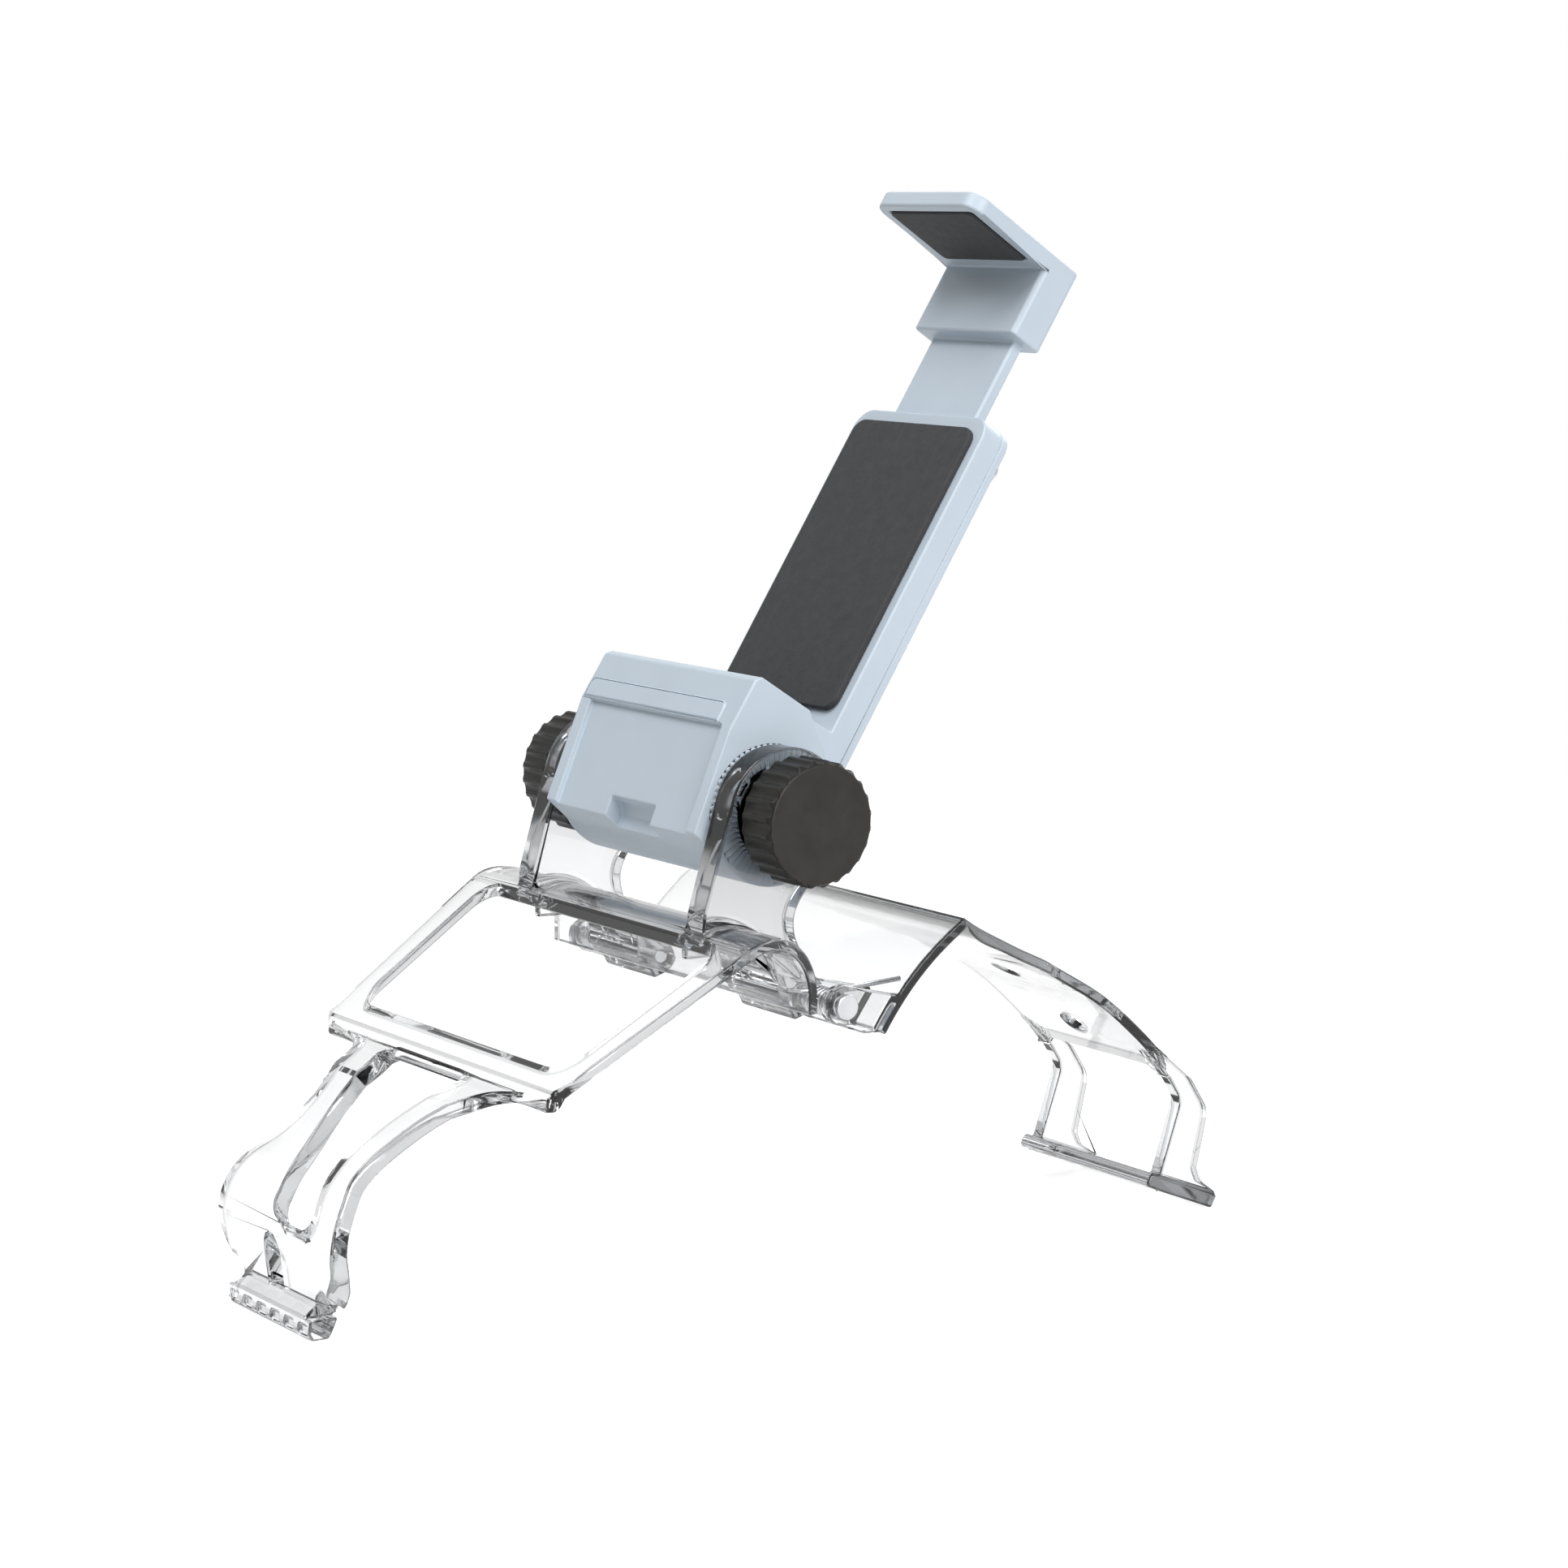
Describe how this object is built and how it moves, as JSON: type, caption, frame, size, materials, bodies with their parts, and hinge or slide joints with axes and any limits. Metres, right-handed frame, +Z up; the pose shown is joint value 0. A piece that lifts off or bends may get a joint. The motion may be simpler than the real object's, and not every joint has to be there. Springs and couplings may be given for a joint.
{
  "type": "controller phone clip",
  "caption": "Clip that holds a phone above a game controller: clear hinged brackets with hooks, tilting clamp with a sprung jaw and side knobs.",
  "frame": {"origin": "middle of the clip between hook and foot, on the surface it stands on", "axes": "+X across the clip, +Y away from the user from the front hook to the rear foot, +Z up"},
  "size_m": [0.0664, 0.1427, 0.1412],
  "materials": {
    "clear_plastic": "clear and polished",
    "pale_blue_plastic": "satin, moulded",
    "black_plastic": "black, slightly rough",
    "soft_pad": "soft, matt",
    "steel": "zinc plated",
    "spring_steel": "bright wire"
  },
  "bodies": {
    "front": {"front_bracket": "clear_plastic", "hinge_pin_left": "steel", "hinge_pin_right": "steel", "washer_left": "black_plastic", "washer_right": "black_plastic", "torsion_spring_left": "spring_steel", "torsion_spring_right": "spring_steel"},
    "rear": {"rear_bracket": "clear_plastic"},
    "clamp": {"clamp_body": "pale_blue_plastic", "clamp_cover": "pale_blue_plastic", "cover_screws": "steel", "lower_pad": "soft_pad", "back_pad": "soft_pad", "square_nut_left": "steel", "square_nut_right": "steel", "jaw_spring_left": "spring_steel", "jaw_spring_right": "spring_steel"},
    "jaw": {"upper_jaw": "pale_blue_plastic", "upper_pad": "soft_pad"},
    "knob_left_turning": {"knob_left": "black_plastic", "knob_stud_left": "steel"},
    "knob_right_turning": {"knob_right": "black_plastic", "knob_stud_right": "steel"}
  },
  "joints": [
    {"name": "bracket_hinge", "type": "hinge", "parent": "front", "child": "rear", "pos_m": [0, -0.0062, 0.0389], "axis": [1, 0, 0], "range_deg": [0, 22], "stiffness_Nm_per_rad": 0.6, "springref_deg": -45.84, "deforming": ["torsion_spring_left", "torsion_spring_right"]},
    {"name": "clamp_tilt", "type": "hinge", "parent": "front", "child": "clamp", "pos_m": [0, -0.00985, 0.06208], "axis": [1, 0, 0], "range_deg": [-35, 90]},
    {"name": "jaw_slide", "type": "slide", "parent": "clamp", "child": "jaw", "axis": [0, 0.5225, 0.8526], "range_m": [-0.012, 0.015], "stiffness_N_per_m": 150, "deforming": ["jaw_spring_left", "jaw_spring_right"]},
    {"name": "knob_left_turn", "type": "hinge", "parent": "clamp", "child": "knob_left_turning", "pos_m": [-0.025, -0.00985, 0.06208], "axis": [1, 0, 0], "continuous": true},
    {"name": "knob_right_turn", "type": "hinge", "parent": "clamp", "child": "knob_right_turning", "pos_m": [0.025, -0.00985, 0.06208], "axis": [1, 0, 0], "continuous": true}
  ]
}
